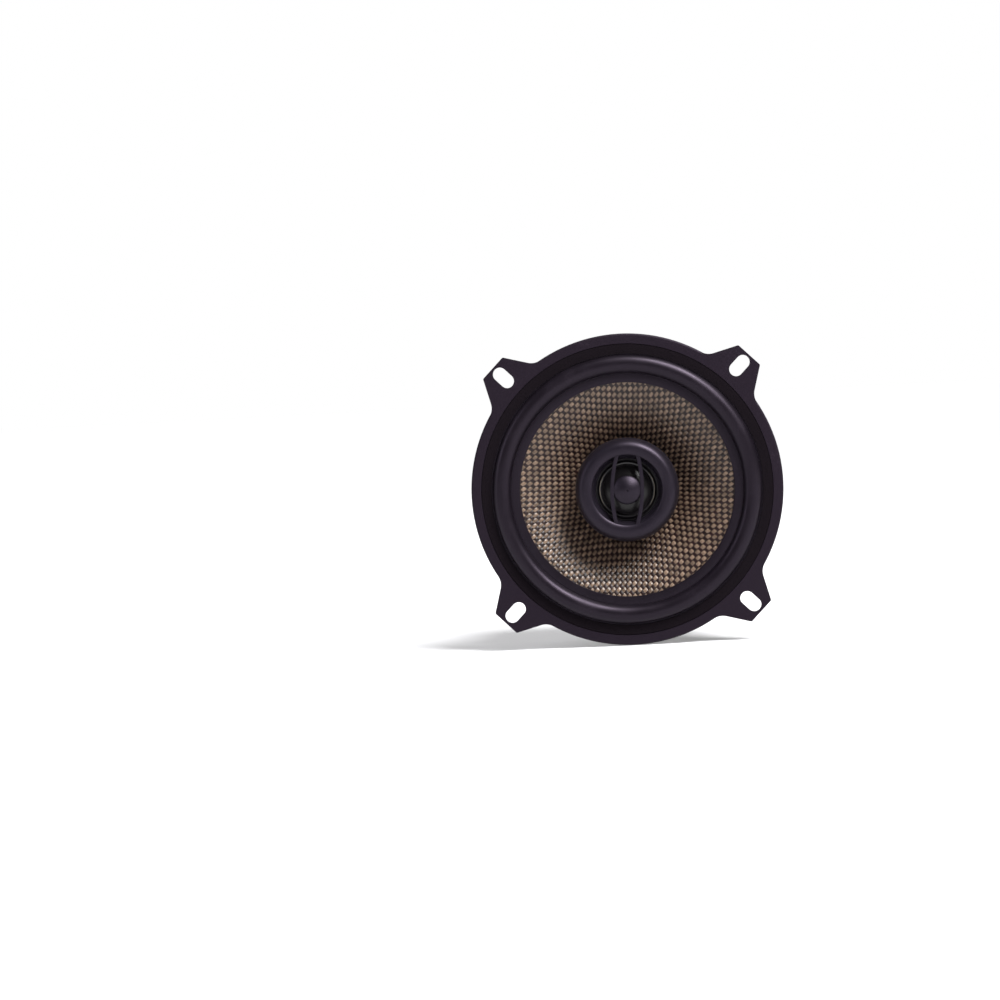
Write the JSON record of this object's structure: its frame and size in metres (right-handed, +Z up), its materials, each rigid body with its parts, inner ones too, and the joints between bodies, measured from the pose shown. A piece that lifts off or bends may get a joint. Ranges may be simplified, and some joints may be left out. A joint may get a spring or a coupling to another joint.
{
  "type": "coaxial car speaker",
  "caption": "Round two-way coaxial car speaker with woven cone, post-mounted tweeter, slotted mounting tabs and rubber-booted magnet.",
  "frame": {"origin": "on the speaker's axis, in the plane of the mounting flange's rear face", "axes": "-Y is the way the speaker faces, +Y runs along the axis to the magnet, +Z is up with the tabs on the diagonals, +X is the terminals' side"},
  "size_m": [0.131, 0.075, 0.131],
  "materials": {
    "basket_coat": "satin black powder coat on cast alloy",
    "gasket_foam": "matte black",
    "surround_rubber": "satin black rubber",
    "woven_cone": "gold and black plain weave, resin coated",
    "spider_cloth": "matte impregnated cloth",
    "former_film": "amber film",
    "coil_wire": "enamelled copper",
    "glue": "cured black adhesive",
    "felt": "black felt",
    "plated_steel": "zinc plated",
    "ferrite": "matte dark grey ferrite",
    "neodymium": "nickel plated",
    "boot_rubber": "satin black rubber",
    "spun_aluminium": "radially turned, bright",
    "tweeter_plastic": "satin black",
    "dome_film": "glossy black film",
    "block_plastic": "matte black",
    "terminal_brass": "tinned brass",
    "capacitor_sleeve": "blue sleeve",
    "lead_insulation": "black insulation",
    "tinsel_braid": "copper tinsel braid"
  },
  "bodies": {
    "frame": {"basket": "basket_coat", "front_gasket": "gasket_foam", "surround": "surround_rubber", "spider": "spider_cloth", "top_plate": "plated_steel", "yoke": "plated_steel", "tweeter_yoke": "plated_steel", "tweeter_pole_disc": "plated_steel", "post_nut": "plated_steel", "plate_rivets": "plated_steel", "tweeter_post": "plated_steel", "ferrite_magnet": "ferrite", "tweeter_magnet": "neodymium", "rubber_boot": "boot_rubber", "rear_cap": "spun_aluminium", "tweeter_bezel": "tweeter_plastic", "tweeter_guard": "tweeter_plastic", "tweeter_housing": "tweeter_plastic", "tweeter_spacer": "tweeter_plastic", "tweeter_surround": "dome_film", "terminal_block": "block_plastic", "positive_terminal": "terminal_brass", "negative_terminal": "terminal_brass", "terminal_rivet": "terminal_brass", "crossover_capacitor": "capacitor_sleeve", "tweeter_lead": "lead_insulation", "positive_tinsel_lead": "tinsel_braid", "negative_tinsel_lead": "tinsel_braid"},
    "woofer_cone": {"cone": "woven_cone", "voice_coil_former": "former_film", "voice_coil_winding": "coil_wire", "neck_ring": "glue", "dust_seal": "felt"},
    "tweeter_diaphragm": {"tweeter_dome": "dome_film", "tweeter_coil": "coil_wire"}
  },
  "joints": [
    {"name": "cone_stroke", "type": "slide", "parent": "frame", "child": "woofer_cone", "axis": [0, -1, 0], "range_m": [-0.0035, 0.0035], "stiffness_N_per_m": 2200, "deforming": ["surround", "spider", "positive_tinsel_lead", "negative_tinsel_lead"]},
    {"name": "dome_stroke", "type": "slide", "parent": "frame", "child": "tweeter_diaphragm", "axis": [0, -1, 0], "range_m": [-0.00025, 0.00025], "stiffness_N_per_m": 1000, "deforming": ["tweeter_surround"]}
  ]
}
